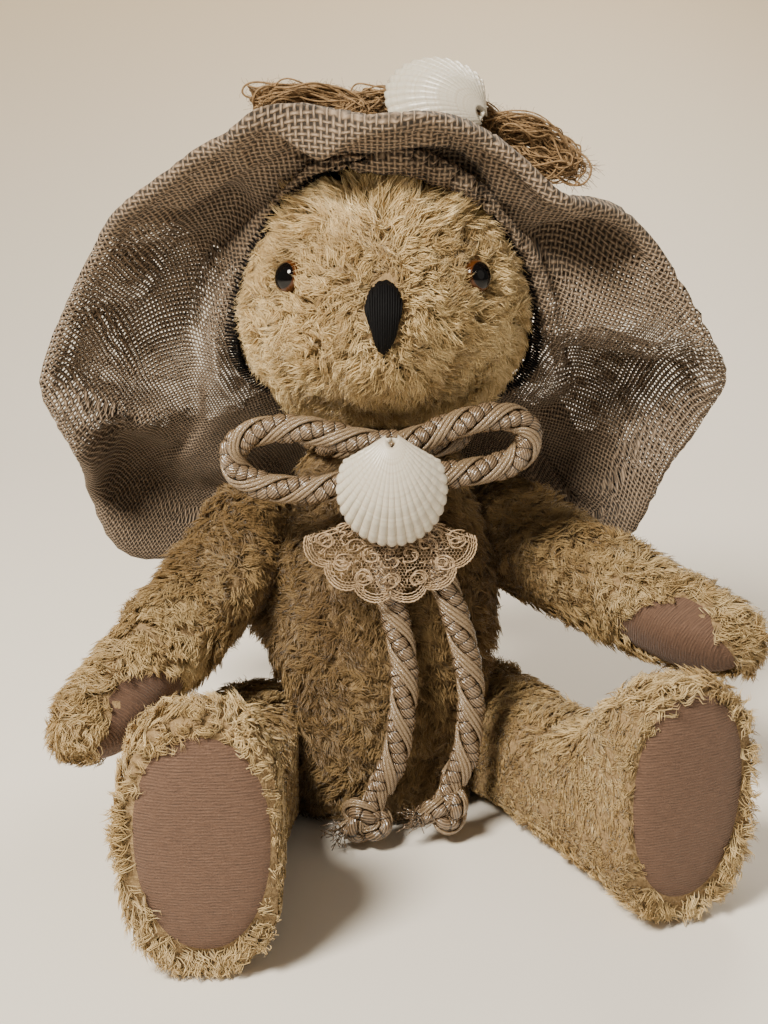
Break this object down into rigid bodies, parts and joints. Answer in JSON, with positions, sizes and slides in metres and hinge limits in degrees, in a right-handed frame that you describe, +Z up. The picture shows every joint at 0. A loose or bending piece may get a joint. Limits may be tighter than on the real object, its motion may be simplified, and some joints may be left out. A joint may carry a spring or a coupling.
{
  "type": "teddy bear",
  "caption": "Jointed plush teddy bear, seated, in a floppy open-weave sun hat, with a twisted cord bow, scallop shells and lace at its neck.",
  "frame": {"origin": "the flat seat of the body, under the middle of the neck joint", "axes": "+Z up; the face looks along -Y; the bear's own left side is +X, and its body and legs are turned a little towards +X"},
  "size_m": [0.2284, 0.2113, 0.2431],
  "materials": {
    "plush": "short wavy golden-brown pile",
    "pad_velour": "fine ribbed brown-mauve velour",
    "stuffing": "loose off-white polyester fibre",
    "board": "pressed board, smooth",
    "steel": "plain zinc-plated steel",
    "eye": "polished, black pupil in dark amber",
    "nose_thread": "black embroidery thread, satin",
    "linen": "open plain weave, matt",
    "hat_thread": "black overlock thread",
    "jute": "hairy natural twine",
    "shell": "white ribbed scallop, satin gloss",
    "cord": "twisted satin cord, champagne",
    "lace": "corded net lace, champagne pink"
  },
  "bodies": {
    "torso": {"body_skin": "plush", "body_stuffing": "stuffing", "neck_cord": "cord", "bow_loops": "cord", "bow_knot": "cord", "left_tail": "cord", "right_tail": "cord", "left_tail_knot": "cord", "right_tail_knot": "cord", "neck_shell": "shell", "lace_fan": "lace", "neck_disc_inner": "board", "neck_lock_nut": "steel", "neck_bolt": "steel", "left_shoulder_disc_inner": "board", "left_shoulder_lock_nut": "steel", "left_shoulder_bolt": "steel", "right_shoulder_disc_inner": "board", "right_shoulder_lock_nut": "steel", "right_shoulder_bolt": "steel", "left_hip_disc_inner": "board", "left_hip_lock_nut": "steel", "left_hip_bolt": "steel", "right_hip_disc_inner": "board", "right_hip_lock_nut": "steel", "right_hip_bolt": "steel"},
    "head": {"head_skin": "plush", "head_stuffing": "stuffing", "left_ear": "plush", "right_ear": "plush", "left_eye": "eye", "right_eye": "eye", "nose": "nose_thread", "hat_brim": "linen", "hat_crown": "linen", "hat_seam": "hat_thread", "hat_shell": "shell", "jute_bow": "jute", "neck_disc_outer": "board", "neck_washer": "steel"},
    "left_arm": {"left_arm_skin": "plush", "left_arm_stuffing": "stuffing", "left_paw_pad": "pad_velour", "left_shoulder_disc_outer": "board", "left_shoulder_washer": "steel"},
    "left_leg": {"left_leg_skin": "plush", "left_leg_stuffing": "stuffing", "left_foot_pad": "pad_velour", "left_hip_disc_outer": "board", "left_hip_washer": "steel"},
    "right_arm": {"right_arm_skin": "plush", "right_arm_stuffing": "stuffing", "right_paw_pad": "pad_velour", "right_shoulder_disc_outer": "board", "right_shoulder_washer": "steel"},
    "right_leg": {"right_leg_skin": "plush", "right_leg_stuffing": "stuffing", "right_foot_pad": "pad_velour", "right_hip_disc_outer": "board", "right_hip_washer": "steel"}
  },
  "joints": [
    {"name": "head_turn", "type": "hinge", "parent": "torso", "child": "head", "pos_m": [0, 0, 0.1295], "axis": [0, 0, 1], "range_deg": [-35, 35], "deforming": ["bow_loops"]},
    {"name": "left_arm_swing", "type": "hinge", "parent": "torso", "child": "left_arm", "pos_m": [0.02517, 0.01119, 0.085], "axis": [0.8297, 0.4412, 0.342], "range_deg": [-60, 55], "deforming": ["hat_brim"]},
    {"name": "right_arm_swing", "type": "hinge", "parent": "torso", "child": "right_arm", "pos_m": [-0.03162, -0.00089, 0.085], "axis": [0.9374, -0.0655, -0.342], "range_deg": [-70, 45]},
    {"name": "left_leg_swing", "type": "hinge", "parent": "torso", "child": "left_leg", "pos_m": [0.02253, -0.0135, 0.0204], "axis": [0.9135, 0.4067, 0], "range_deg": [-15, 90]},
    {"name": "right_leg_swing", "type": "hinge", "parent": "torso", "child": "right_leg", "pos_m": [-0.02818, -0.02428, 0.0204], "axis": [1, 0, 0], "range_deg": [-15, 90]}
  ]
}
